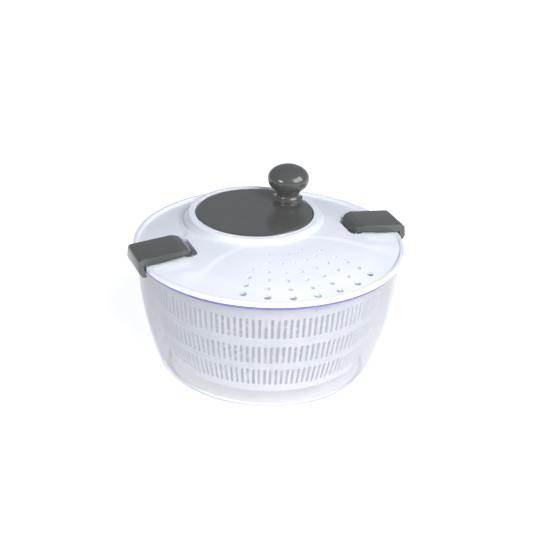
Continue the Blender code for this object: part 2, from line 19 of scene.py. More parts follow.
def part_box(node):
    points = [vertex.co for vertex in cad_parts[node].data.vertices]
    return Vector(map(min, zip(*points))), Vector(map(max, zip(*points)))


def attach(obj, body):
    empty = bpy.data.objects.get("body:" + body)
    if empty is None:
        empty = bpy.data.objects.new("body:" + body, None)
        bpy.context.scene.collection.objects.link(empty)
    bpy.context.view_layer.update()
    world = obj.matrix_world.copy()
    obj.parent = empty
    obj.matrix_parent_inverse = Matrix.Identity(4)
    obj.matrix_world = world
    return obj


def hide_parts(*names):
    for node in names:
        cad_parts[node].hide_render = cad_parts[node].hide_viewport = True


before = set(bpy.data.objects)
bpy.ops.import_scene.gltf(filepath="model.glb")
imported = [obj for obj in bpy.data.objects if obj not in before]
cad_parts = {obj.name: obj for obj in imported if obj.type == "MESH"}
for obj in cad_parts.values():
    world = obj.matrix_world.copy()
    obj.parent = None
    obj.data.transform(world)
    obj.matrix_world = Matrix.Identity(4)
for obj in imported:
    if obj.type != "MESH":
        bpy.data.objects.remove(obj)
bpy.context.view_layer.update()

MM = 0.001
NOTHING = 1e-6  # Lengths and slopes below this count as nothing.

Point2 = tuple[float, float]
Point3 = tuple[float, float, float]
Colour = tuple[float, float, float]

log = logging.getLogger("salad_spinner")


# ---------------------------------------------------------------------------- frame and numbers


@dataclass(frozen=True)
class Extent:
    """The box of a CAD node at rest, in millimetres."""

    low: Vector
    high: Vector

    @classmethod
    def of(cls, node: str) -> "Extent":
        """Reads a node's box from the frame.

        Args:
            node: The CAD node's name.

        Returns:
            Its extent in millimetres.
        """
        low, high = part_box(node)
        return cls(low / MM, high / MM)

    @property
    def radius(self) -> float:
        """Half of the width across X."""
        return (self.high.x - self.low.x) / 2

    @property
    def centre(self) -> Vector:
        """The middle of the box."""
        return (self.low + self.high) / 2


def measured(node: str, what: str) -> Any:
    """A dataclass field that is read from a CAD node's extent, such as high.z."""
    return field(default_factory=lambda: attrgetter(what)(Extent.of(node)))


def ramp(low: float, high: float, value: float) -> float:
    """Rises smoothly from 0 at low to 1 at high.

    Args:
        low: Where the rise starts.
        high: Where the rise ends.
        value: Where it is read.

    Returns:
        A number from 0 to 1.
    """
    share = min(1.0, max(0.0, (value - low) / (high - low)))
    return share * share * (3 - 2 * share)


@dataclass(frozen=True)
class Flare:
    """A round wall that flares from one height to another and bulges between them."""

    low: float
    high: float
    low_radius: float
    high_radius: float
    bulge: float

    def radius(self, z: float) -> float:
        """The wall's outer radius at a height."""
        up = (z - self.low) / (self.high - self.low)
        spread = self.high_radius - self.low_radius
        return self.low_radius + spread * up + self.bulge * up * (1 - up)


BOWL_WALL = Flare(9.0, 112.0, 102.0, 122.3, 16.7)
BOWL_FOOT = 91.0


def smooth_least(a: float, b: float, blend: float) -> float:
    """The smaller of two numbers, rounded off where they are within blend of each other."""
    share = max(0.0, blend - abs(a - b)) / blend
    return min(a, b) - share * share * blend / 4


def arc(centre: Point2, radius: float, start: float, stop: float, steps: int) -> list[Point2]:
    """Points along a circle, both ends included.

    Args:
        centre: The circle's middle.
        radius: Its radius.
        start: The first point's angle.
        stop: The last point's angle.
        steps: How many chords stand for the arc.

    Returns:
        The points in order.
    """
    turns = [radians(start + (stop - start) * i / steps) for i in range(steps + 1)]
    return [(centre[0] + radius * cos(t), centre[1] + radius * sin(t)) for t in turns]


def rounded(corners: Sequence[tuple[float, float, float]], steps: int = 4) -> list[Point2]:
    """Rounds the inner corners of an open line.

    Args:
        corners: (x, y, radius) of each corner; a radius of 0 keeps it sharp.
        steps: How many chords stand for each rounded corner.

    Returns:
        The line's points.
    """
    line: list[Point2] = []
    for i, (x, y, radius) in enumerate(corners):
        here = Vector((x, y))
        if radius <= 0 or i in (0, len(corners) - 1):
            line.append((x, y))
            continue
        back = (Vector(corners[i - 1][:2]) - here).normalized()
        ahead = (Vector(corners[i + 1][:2]) - here).normalized()
        half = back.angle(ahead) / 2
        reach = radius / max(NOTHING, abs(sin(half) / cos(half)))
        start, stop = here + back * reach, here + ahead * reach
        for step in range(steps + 1):
            t = step / steps
            bow = start * (1 - t) ** 2 + here * 2 * t * (1 - t) + stop * t**2
            line.append((bow.x, bow.y))
    return line


# ---------------------------------------------------------------------------- modelling bench


class Cut(Enum):
    """How a second body acts on a piece."""

    REMOVE = "DIFFERENCE"
    KEEP_COMMON = "INTERSECT"


def deselect() -> None:
    """Leaves edit mode and selects nothing."""
    if bpy.context.mode != "OBJECT":
        bpy.ops.object.mode_set(mode="OBJECT")
    bpy.ops.object.select_all(action="DESELECT")


def pick(obj: bpy.types.Object) -> None:
    """Makes one object the only selected and active one."""
    deselect()
    obj.select_set(True)
    bpy.context.view_layer.objects.active = obj


def draw_line(name: str, points: Sequence[Point3], closed: bool) -> bpy.types.Object:
    """Draws a line by extruding a single point along it, and stays in edit mode.

    Args:
        name: The new object's name.
        points: The line's points, in millimetres.
        closed: Whether the last point is joined to the first.

    Returns:
        The object, with all of its line selected.
    """
    deselect()
    bpy.ops.mesh.primitive_plane_add(size=MM)
    obj = bpy.context.object
    obj.name = name
    bpy.ops.object.mode_set(mode="EDIT")
    bpy.ops.mesh.select_all(action="SELECT")
    bpy.ops.mesh.merge(type="CENTER")
    bpy.ops.transform.translate(value=Vector(points[0]) * MM)
    for last, here in zip(points, points[1:]):
        step = (Vector(here) - Vector(last)) * MM
        bpy.ops.mesh.extrude_vertices_move(TRANSFORM_OT_translate={"value": step})
    if closed:
        bpy.ops.object.mode_set(mode="OBJECT")
        for end in (0, len(points) - 1):
            obj.data.vertices[end].select = True
        bpy.ops.object.mode_set(mode="EDIT")
        bpy.ops.mesh.edge_face_add()
    bpy.ops.mesh.select_all(action="SELECT")
    return obj


def tidy_surface() -> None:
    """Merges doubles, turns the faces outwards, and leaves edit mode."""
    bpy.ops.mesh.select_all(action="SELECT")
    bpy.ops.mesh.remove_doubles(threshold=NOTHING)
    bpy.ops.mesh.normals_make_consistent(inside=False)
    bpy.ops.object.mode_set(mode="OBJECT")


def turn_profile(
    name: str, profile: Sequence[Point2], flats: int, solid: bool = True
) -> bpy.types.Object:
    """Spins a profile of (radius, z) points round Z.

    Args:
        name: The new object's name.
        profile: The profile, from the axis outwards and back, or any closed or open line.
        flats: How many flats the circle has.
        solid: Whether a profile that misses the axis is closed into a ring first.

    Returns:
        The turned object.
    """
    touches = profile[0][0] < NOTHING and profile[-1][0] < NOTHING
    line = [(r, 0.0, z) for r, z in profile]
    obj = draw_line(name, line, closed=solid and not touches)
    bpy.ops.mesh.spin(steps=flats, angle=2 * pi, center=(0, 0, 0), axis=(0, 0, 1))
    tidy_surface()
    return obj


def extrude_outline(
    name: str, outline: Sequence[Point3], push: Point3
) -> bpy.types.Object:
    """Fills a closed outline and extrudes it.

    Args:
        name: The new object's name.
        outline: The outline's points, in millimetres, all in one plane.
        push: How far, and in which direction, it is extruded.

    Returns:
        The solid.
    """
    obj = draw_line(name, outline, closed=True)
    bpy.ops.mesh.edge_face_add()
    bpy.ops.mesh.extrude_region_move(TRANSFORM_OT_translate={"value": Vector(push) * MM})
    tidy_surface()
    return obj


def rounded_block(
    name: str, low: Point3, high: Point3, corner: float, steps: int = 5
) -> bpy.types.Object:
    """A block whose four upright edges are rounded.

    Args:
        name: The new object's name.
        low: Its lowest corner.
        high: Its highest corner.
        corner: The radius of its upright edges.
        steps: How many flats each rounded edge has.

    Returns:
        The block.
    """
    deselect()
    bpy.ops.mesh.primitive_cube_add(size=1)
    obj = bpy.context.object
    obj.name = name
    bpy.ops.object.mode_set(mode="EDIT")
    bpy.ops.mesh.select_all(action="SELECT")
    size = Vector(high) - Vector(low)
    bpy.ops.transform.resize(value=size * MM)
    bpy.ops.transform.translate(value=(Vector(high) + Vector(low)) / 2 * MM)
    bpy.ops.object.mode_set(mode="OBJECT")
    for edge in obj.data.edges:
        ends = [obj.data.vertices[v].co for v in edge.vertices]
        edge.select = abs(ends[0].z - ends[1].z) > size.z / 2 * MM
    for face in obj.data.polygons:
        face.select = False
    bpy.context.tool_settings.mesh_select_mode = (False, True, False)
    bpy.ops.object.mode_set(mode="EDIT")
    if corner > 0:
        bpy.ops.mesh.bevel(offset=corner * MM, segments=steps, affect="EDGES")
    tidy_surface()
    bpy.context.tool_settings.mesh_select_mode = (True, False, False)
    return obj


def apply_modifier(obj: bpy.types.Object, kind: str, **settings: Any) -> None:
    """Adds a modifier with its settings and applies it.

    Args:
        obj: The piece.
        kind: The modifier's type.
        **settings: The modifier's own settings.
    """
    modifier = obj.modifiers.new(kind.title(), kind)
    for key, value in settings.items():
        setattr(modifier, key, value)
    pick(obj)
    bpy.ops.object.modifier_apply(modifier=modifier.name)


def soften(obj: bpy.types.Object, width: float, segments: int = 3, angle: float = 30) -> None:
    """Rounds every edge that is sharper than an angle.

    Args:
        obj: The piece.
        width: The rounding's width.
        segments: How many flats the rounding has.
        angle: The smallest angle that is rounded.
    """
    apply_modifier(
        obj,
        "BEVEL",
        width=width * MM,
        segments=segments,
        limit_method="ANGLE",
        angle_limit=radians(angle),
        use_clamp_overlap=True,
        harden_normals=False,
    )


def combine(obj: bpy.types.Object, tool: bpy.types.Object, how: Cut) -> None:
    """Cuts or joins one solid with another, which is used up.

    Args:
        obj: The piece.
        tool: The second solid.
        how: What it does to the piece.
    """
    apply_modifier(obj, "BOOLEAN", object=tool, operation=how.value, solver="EXACT")
    bpy.data.objects.remove(tool)


def gather(name: str, parts: Sequence[bpy.types.Object]) -> bpy.types.Object:
    """Joins objects into one without cutting them.

    Args:
        name: The joined object's name.
        parts: The objects, of which the first keeps its mesh.

    Returns:
        The joined object.
    """
    deselect()
    for part in parts:
        part.select_set(True)
    bpy.context.view_layer.objects.active = parts[0]
    bpy.ops.object.join()
    parts[0].name = name
    return parts[0]


def settle(obj: bpy.types.Object, move: Point3 = (0, 0, 0), turn_z: float = 0) -> None:
    """Turns and moves a piece, and puts its place into its mesh.

    Args:
        obj: The piece.
        move: How far it moves, in millimetres.
        turn_z: How far it turns about Z first.
    """
    turn = Euler((0, 0, radians(turn_z))).to_matrix().to_4x4()
    obj.matrix_world = Matrix.Translation(Vector(move) * MM) @ turn @ obj.matrix_world
    pick(obj)
    bpy.ops.object.transform_apply(location=True, rotation=True, scale=True)


def copy_of(obj: bpy.types.Object, name: str) -> bpy.types.Object:
    """Copies a piece together with its mesh.

    Args:
        obj: The piece.
        name: The copy's name.

    Returns:
        The copy.
    """
    made = obj.copy()
    made.data = obj.data.copy()
    made.name = name
    bpy.context.scene.collection.objects.link(made)
    return made


def copies_round(first: bpy.types.Object, count: int, start: float) -> list[bpy.types.Object]:
    """Copies a piece evenly round Z, and removes the piece that was copied.

    Args:
        first: The piece.
        count: How many copies are made.
        start: How far the first copy is turned.

    Returns:
        The copies.
    """
    made = []
    for i in range(count):
        made.append(copy_of(first, f"{first.name}_{i}"))
        settle(made[-1], turn_z=start + 360 * i / count)
    bpy.data.objects.remove(first)
    return made


def smooth(obj: bpy.types.Object, angle: float = 35) -> None:
    """Shades a piece smooth and keeps edges sharper than an angle."""
    pick(obj)
    bpy.ops.object.shade_smooth_by_angle(angle=radians(angle))


def drill(
    flats: int, radius: float, low: float, high: float, place: Point2
) -> bpy.types.Object:
    """An upright round cutter.

    Args:
        flats: How many flats it has.
        radius: Its radius.
        low: Where it starts.
        high: Where it ends.
        place: Where its axis stands.

    Returns:
        The cutter.
    """
    deselect()
    bpy.ops.mesh.primitive_cylinder_add(
        vertices=flats,
        radius=radius * MM,
        depth=(high - low) * MM,
        location=(place[0] * MM, place[1] * MM, (low + high) / 2 * MM),
    )
    made = bpy.context.object
    bpy.ops.object.transform_apply(location=True, rotation=True, scale=True)
    return made


# ---------------------------------------------------------------------------- shader expressions


class Signal:
    """A number that varies over a surface, which adds Math nodes as it is reckoned with."""

    def __init__(self, sheet: "ShaderSheet", socket: bpy.types.NodeSocket) -> None:
        """Wraps a socket of a material's nodes."""
        self.sheet = sheet
        self.socket = socket

    def _math(self, operation: str, *values: Any) -> "Signal":
        """Adds a Math node.

        Args:
            operation: The node's operation.
            *values: Its inputs, signals or numbers.

        Returns:
            The node's result.
        """
        return self.sheet.node("ShaderNodeMath", {"operation": operation}, dict(enumerate(values)))

    def __add__(self, other: Any) -> "Signal":
        """self + other."""
        return self._math("ADD", self, other)

    def __radd__(self, other: Any) -> "Signal":
        """other + self."""
        return self._math("ADD", other, self)

    def __sub__(self, other: Any) -> "Signal":
        """self - other."""
        return self._math("SUBTRACT", self, other)

    def __rsub__(self, other: Any) -> "Signal":
        """other - self."""
        return self._math("SUBTRACT", other, self)

    def __mul__(self, other: Any) -> "Signal":
        """self * other."""
        return self._math("MULTIPLY", self, other)

    def __rmul__(self, other: Any) -> "Signal":
        """other * self."""
        return self._math("MULTIPLY", other, self)

    def __pow__(self, other: Any) -> "Signal":
        """self ** other."""
        return self._math("POWER", self, other)

    def least(self, other: Any) -> "Signal":
        """The smaller of two values."""
        return self._math("MINIMUM", self, other)

    def most(self, other: Any) -> "Signal":
        """The larger of two values."""
        return self._math("MAXIMUM", self, other)

    def rise(self, low: float, high: float) -> "Signal":
        """Rises smoothly from 0 at low to 1 at high.

        Args:
            low: Where the rise starts.
            high: Where it ends.

        Returns:
            A signal from 0 to 1.
        """
        settings = {"interpolation_type": "SMOOTHSTEP"}
        inputs = {"Value": self, "From Min": low, "From Max": high}
        return self.sheet.node("ShaderNodeMapRange", settings, inputs)


class ShaderSheet:
    """One material's nodes."""

    def __init__(self, name: str) -> None:
        """Starts an empty material.

        Args:
            name: The material's name.
        """
        self.material = bpy.data.materials.new(name)
        self.material.use_nodes = True
        self.tree = self.material.node_tree
        self.surface = self.tree.nodes["Principled BSDF"]

    def node(
        self, kind: str, settings: dict[str, Any], inputs: dict[Any, Any], output: Any = 0
    ) -> Signal:
        """Adds a node.

        Args:
            kind: The node's type.
            settings: Its own settings, which are set first.
            inputs: The values or links of its sockets, by name or number.
            output: The output that is wanted, by name or number.

        Returns:
            That output as a signal.
        """
        made = self.tree.nodes.new(kind)
        for key, value in settings.items():
            setattr(made, key, value)
        for key, value in inputs.items():
            self.feed(made.inputs[key], value)
        return Signal(self, made.outputs[output])

    def feed(self, socket: bpy.types.NodeSocket, value: Any) -> None:
        """Sets a socket's value or links a signal to it.

        Args:
            socket: The socket.
            value: A signal, a number or a colour.
        """
        if isinstance(value, Signal):
            self.tree.links.new(value.socket, socket)
        elif isinstance(value, tuple) and len(value) == 3 and socket.type == "RGBA":
            socket.default_value = (*value, 1.0)
        else:
            socket.default_value = value

    def place(self) -> Signal:
        """The point on the piece, in the object's own metres."""
        return self.node("ShaderNodeTexCoord", {}, {}, "Object")

    def height(self) -> Signal:
        """How high the point stands, in millimetres."""
        return self.node("ShaderNodeSeparateXYZ", {}, {"Vector": self.place()}, "Z") * (1 / MM)

    def reach(self) -> Signal:
        """How far the point stands from the object's upright axis, in millimetres."""
        flat = self.node("ShaderNodeMapping", {}, {"Vector": self.place(), "Scale": (1, 1, 0)})
        settings = {"operation": "LENGTH"}
        return self.node("ShaderNodeVectorMath", settings, {0: flat}, "Value") * (1 / MM)

    def noise(self, size: float, detail: float = 2, stretch: Point3 = (1, 1, 1)) -> Signal:
        """Cloudy variation from 0 to 1.

        Args:
            size: How big its patches are, in millimetres.
            detail: How many finer layers it has.
            stretch: How its patches are squeezed along each axis.

        Returns:
            The noise.
        """
        spot = self.node("ShaderNodeMapping", {}, {"Vector": self.place(), "Scale": stretch})
        inputs = {"Vector": spot, "Scale": 1 / (size * MM), "Detail": detail}
        return self.node("ShaderNodeTexNoise", {}, inputs, "Fac")

    def blend(self, share: Any, one: Any, other: Any) -> Signal:
        """Mixes two colours.

        Args:
            share: How much of the second shows.
            one: The first colour.
            other: The second colour.

        Returns:
            The mixed colour.
        """
        made = self.tree.nodes.new("ShaderNodeMix")
        made.data_type = "RGBA"
        self.feed(made.inputs["Factor"], share)
        colours = [s for s in made.inputs if s.type == "RGBA"]
        self.feed(colours[0], one)
        self.feed(colours[1], other)
        return Signal(self, next(s for s in made.outputs if s.type == "RGBA"))

    def bumps(self, height: Signal, depth: float) -> Signal:
        """Turns a signal into bumps.

        Args:
            height: The bumps' height from 0 to 1.
            depth: How deep they are, in millimetres.

        Returns:
            The normal.
        """
        inputs = {"Height": height, "Distance": depth * MM, "Strength": 1.0}
        return self.node("ShaderNodeBump", {}, inputs)

    def dress(self, **sockets: Any) -> bpy.types.Material:
        """Feeds the surface's sockets, named with underscores for spaces.

        Args:
            **sockets: The value or signal of each socket.

        Returns:
            The finished material.
        """
        for key, value in sockets.items():
            self.feed(self.surface.inputs[key.replace("_", " ")], value)
        return self.material


@dataclass(frozen=True)
class Finish(ABC):
    """A material that is made once and shared by the pieces that wear it."""

    _made: ClassVar[dict[str, bpy.types.Material]] = {}

    label: str

    @abstractmethod
    def mix(self, sheet: ShaderSheet) -> bpy.types.Material:
        """Lays out the material's nodes."""

    def material(self) -> bpy.types.Material:
        """The material, made on its first use."""
        if self.label not in Finish._made:
            Finish._made[self.label] = self.mix(ShaderSheet(self.label))
        return Finish._made[self.label]

    def paint(self, obj: bpy.types.Object) -> None:
        """Puts the finish on every face of a piece or a CAD node."""
        if not obj.material_slots:
            obj.data.materials.append(self.material())
        for slot in obj.material_slots:
            slot.material = self.material()


@dataclass(frozen=True)
class MouldedPlastic(Finish):
    """Plastic with a faint moulding texture, flow marks and handling haze.

    It may carry a weak even emission in its own tone: a painted glow that stands in for light
    passing through a thin wall and for fill light that lifts its shade.
    """

    tone: Colour
    shade: Colour
    roughness: float
    grain: float = 0.006
    grain_size: float = 0.5
    haze: float = 0.08
    coat: float = 0.0
    milk: float = 0.0
    flow_patch: float = 38.0
    rubbed_patch: float = 7.0
    flow_range: Point2 = (0.35, 0.7)
    fine_haze: float = 0.4
    coat_roughness: float = 0.06
    bending: float = 1.47

    def mix(self, sheet: ShaderSheet) -> bpy.types.Material:
        """Lays out the plastic's nodes.

        Args:
            sheet: The empty material.

        Returns:
            The finished material.
        """
        flow = sheet.noise(self.flow_patch, 3)
        fine = sheet.noise(self.grain_size, 2)
        rubbed = sheet.noise(self.rubbed_patch, 4)
        haze = self.roughness + (rubbed - 0.5) * self.haze
        return sheet.dress(
            Base_Color=sheet.blend(flow.rise(*self.flow_range), self.tone, self.shade),
            Roughness=haze + (fine - 0.5) * self.haze * self.fine_haze,
            Normal=sheet.bumps(fine, self.grain),
            Coat_Weight=self.coat,
            Coat_Roughness=self.coat_roughness,
            # Painted glow: an even emission in the plastic's tone, standing in for light through
            # the wall and fill light on its shade.
            Emission_Color=self.tone,
            Emission_Strength=self.milk,
            IOR=self.bending,
        )


@dataclass(frozen=True)
class ClearPlastic(Finish):
    """Clear moulding that gathers a violet tint in its rim, its foot and its edges."""

    tint: Colour
    body: Colour
    rim_low: float
    foot: float
    corner: float
    wall: Flare
    faint: float = 0.24
    haze: float = 0.3
    dense: float = 0.8
    rim_blur: float = 0.5
    foot_top: Point2 = (1.2, 2.2)
    foot_inset: Point2 = (1.2, 0.6)
    foot_tint: float = 0.45
    corner_spread: float = 2.2
    corner_tint: float = 0.2
    outer_skin: Point2 = (-1.6, -1.2)
    underside: Point2 = (3.2, 4.2)
    edge_on: Point2 = (0.81, 0.93)
    low_share: float = 0.62
    climb: Point2 = (10.0, 60.0)
    climb_gain: float = 0.43
    streak_gain: float = 0.06
    scuffed: Point2 = (0.55, 0.8)

    def lines(self, sheet: ShaderSheet) -> Signal:
        """Finds where the tint gathers: the rim, the foot's ring and the corner above it.

        Args:
            sheet: The material.

        Returns:
            The tint's strength from 0 to 1.
        """
        z = sheet.height()
        r = sheet.reach()
        rim = z.rise(self.rim_low, self.rim_low + self.rim_blur)
        far_in, near_in = self.foot_inset
        ring = r.rise(self.foot - far_in, self.foot - near_in)
        foot = (1 - z.rise(*self.foot_top)) * ring * self.foot_tint
        low, high = self.corner - self.corner_spread, self.corner + self.corner_spread
        corner = z.rise(low, self.corner) * (1 - z.rise(self.corner, high))
        return rim.most(foot).most(corner * self.corner_tint)

    def outside(self, sheet: ShaderSheet) -> Signal:
        """Tells the bowl's outer surface and underside from its inner surface.

        Args:
            sheet: The material.

        Returns:
            1 outside and 0 inside.
        """
        z = sheet.height()
        wall = self.wall
        up = z.rise(wall.low, wall.high)
        straight = wall.low_radius + up * (wall.high_radius - wall.low_radius)
        outer = straight + up * (1 - up) * wall.bulge
        inset = sheet.reach() - outer
        return inset.rise(*self.outer_skin).most(1 - z.rise(*self.underside))

    def mix(self, sheet: ShaderSheet) -> bpy.types.Material:
        """Lays out the clear plastic's nodes.

        Args:
            sheet: The empty material.

        Returns:
            The finished material.
        """
        gathered = self.lines(sheet)
        glance = sheet.node("ShaderNodeLayerWeight", {}, {"Blend": 0.5}, "Facing")
        edge = glance.rise(*self.edge_on) * self.outside(sheet)
        scuffs = sheet.noise(2.4, 5, (1, 1, 0.25))
        streaks = sheet.noise(16, 2, (1, 1, 0.12))
        alpha = (
            self.faint * (self.low_share + sheet.height().rise(*self.climb) * self.climb_gain)
            + (glance**3) * self.haze
            + gathered.most(edge) * (self.dense - self.faint)
            + (streaks - 0.5) * self.streak_gain
        )
        return sheet.dress(
            Base_Color=sheet.blend(gathered.most(edge), self.body, self.tint),
            Alpha=alpha.least(0.92).most(0.02),
            Roughness=0.05 + scuffs.rise(*self.scuffed) * 0.08,
            Normal=sheet.bumps(streaks, 0.05),
            IOR=1.5,
        )


@dataclass(frozen=True)
class Metal(Finish):
    """Turned metal with fine rings left by the tool."""

    tone: Colour
    roughness: float = 0.28
    dull_range: Point2 = (0.4, 0.75)
    dull_shade: float = 0.8
    dull_gain: float = 0.15

    def mix(self, sheet: ShaderSheet) -> bpy.types.Material:
        """Lays out the metal's nodes.

        Args:
            sheet: The empty material.

        Returns:
            The finished material.
        """
        rings = sheet.noise(0.35, 2, (0.05, 0.05, 1))
        dull = sheet.noise(3, 3)
        darker = tuple(c * self.dull_shade for c in self.tone)
        return sheet.dress(
            Base_Color=sheet.blend(dull.rise(*self.dull_range), self.tone, darker),
            Metallic=1.0,
            Roughness=self.roughness + (dull - 0.5) * self.dull_gain,
            Normal=sheet.bumps(rings, 0.01),
        )


LID_WHITE = MouldedPlastic(
    "lid_white_plastic", (0.79, 0.81, 0.87), (0.76, 0.785, 0.855), 0.3
)
# The basket's weak emission is a painted glow for light passing through its thin white wall.
BASKET_WHITE = MouldedPlastic(
    "basket_white_plastic", (0.77, 0.79, 0.83), (0.74, 0.76, 0.81), 0.38, milk=0.15
)
# The dark plastic's emission is a painted glow: fill light that lifts its shade evenly.
DARK_GREY = MouldedPlastic(
    "dark_grey_plastic",
    (0.062, 0.062, 0.060),
    (0.057, 0.057, 0.055),
    roughness=0.16,
    grain=0.004,
    grain_size=0.8,
    haze=0.05,
    coat=0.15,
    milk=0.42,
)
ACETAL = MouldedPlastic("natural_acetal", (0.82, 0.82, 0.78), (0.76, 0.76, 0.71), 0.35)
CLEAR = ClearPlastic(
    "clear_bowl_plastic",
    tint=(0.13, 0.12, 0.55),
    body=(0.38, 0.39, 0.43),
    rim_low=115.6,
    foot=BOWL_FOOT,
    corner=7.4,
    wall=BOWL_WALL,
)
STEEL = Metal("bright_steel", (0.62, 0.62, 0.63))
BRASS = Metal("turned_brass", (0.7, 0.53, 0.27), 0.32)


# ---------------------------------------------------------------------------- sub-assemblies


class SubAssembly(ABC):
    """A group of pieces that is built and dressed together."""

    @abstractmethod
    def build(self) -> None:
        """Models the pieces."""

    @abstractmethod
    def dress(self) -> None:
        """Gives the pieces their finishes."""

    def fit(self, obj: bpy.types.Object, body: str, slot: str, *nodes: str) -> None:
        """Ties a finished piece to the frame.

        Args:
            obj: The piece.
            body: The CAD body that it rides on.
            slot: The record's material slot; it is not used.
            *nodes: The CAD nodes that it stands for.
        """
        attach(obj, body)
        if nodes:
            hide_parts(*nodes)
        log.info("%s rides on %s with %d faces", obj.name, body, len(obj.data.polygons))


@dataclass
class Bowl(SubAssembly):
    """The clear bowl: foot, rounded corner, flaring wall, rim flange and centre pivot."""

    rim: float = measured("bowl", "radius")
    height: float = measured("bowl", "high.z")
    foot: float = BOWL_FOOT
    wall: Flare = BOWL_WALL
    wall_steps: int = 16
    thickness: float = 2.2
    flange_low: float = 116.6
    pivot: float = 16.0
    flats: int = 160

    def profile(self) -> list[Point2]:
        """The bowl's section, from the axis under the foot to the pivot's tip."""
        wall, steps, mouth = self.wall, self.wall_steps, self.wall.high_radius
        heights = [wall.low + (wall.high - wall.low) * i / steps for i in range(steps + 1)]
        foot = rounded(
            [
                (0, 1.6, 0),
                (self.foot - 6, 1.6, 0.8),
                (self.foot - 5, 0.1, 0.8),
                (self.foot - 0.5, 0.0, 1.2),
                (wall.low_radius - 2.6, 4.6, 3.0),
                (wall.radius(heights[0]), heights[0], 3.0),
                (wall.radius(heights[1]), heights[1], 0),
            ]
        )
        outside = foot[:-1] + [(wall.radius(z), z) for z in heights[1:]]
        rim = rounded(
            [
                (mouth, wall.high, 0),
                (mouth + 0.4, self.flange_low - 0.8, 0.8),
                (self.rim, self.flange_low, 0.5),
                (self.rim, self.height, 0.6),
                (mouth - self.thickness, self.height, 0.8),
                (mouth - self.thickness, wall.high, 0),
            ],
            3,
        )
        inside = [(wall.radius(z) - self.thickness, z) for z in reversed(heights[1:-1])]
        floor = rounded(
            [
                (*inside[-1], 0),
                (wall.low_radius - self.thickness - 1.0, 8.6, 5),
                (self.foot + 1.0, 3.9, 7),
                (9, 3.8, 2),
                (4.2, 8, 3),
                (3.4, self.pivot - 1.4, 0.8),
                (1.6, self.pivot, 0.5),
                (0, self.pivot, 0),
            ]
        )
        return outside[:-1] + rim + inside[:-1] + floor

    def build(self) -> None:
        """Turns the bowl."""
        self.bowl = turn_profile("bowl_shell", self.profile(), self.flats)
        smooth(self.bowl, 40)

    def dress(self) -> None:
        """Dresses the bowl in clear plastic."""
        CLEAR.paint(self.bowl)
        self.fit(self.bowl, "bowl", "clear_plastic", "bowl")


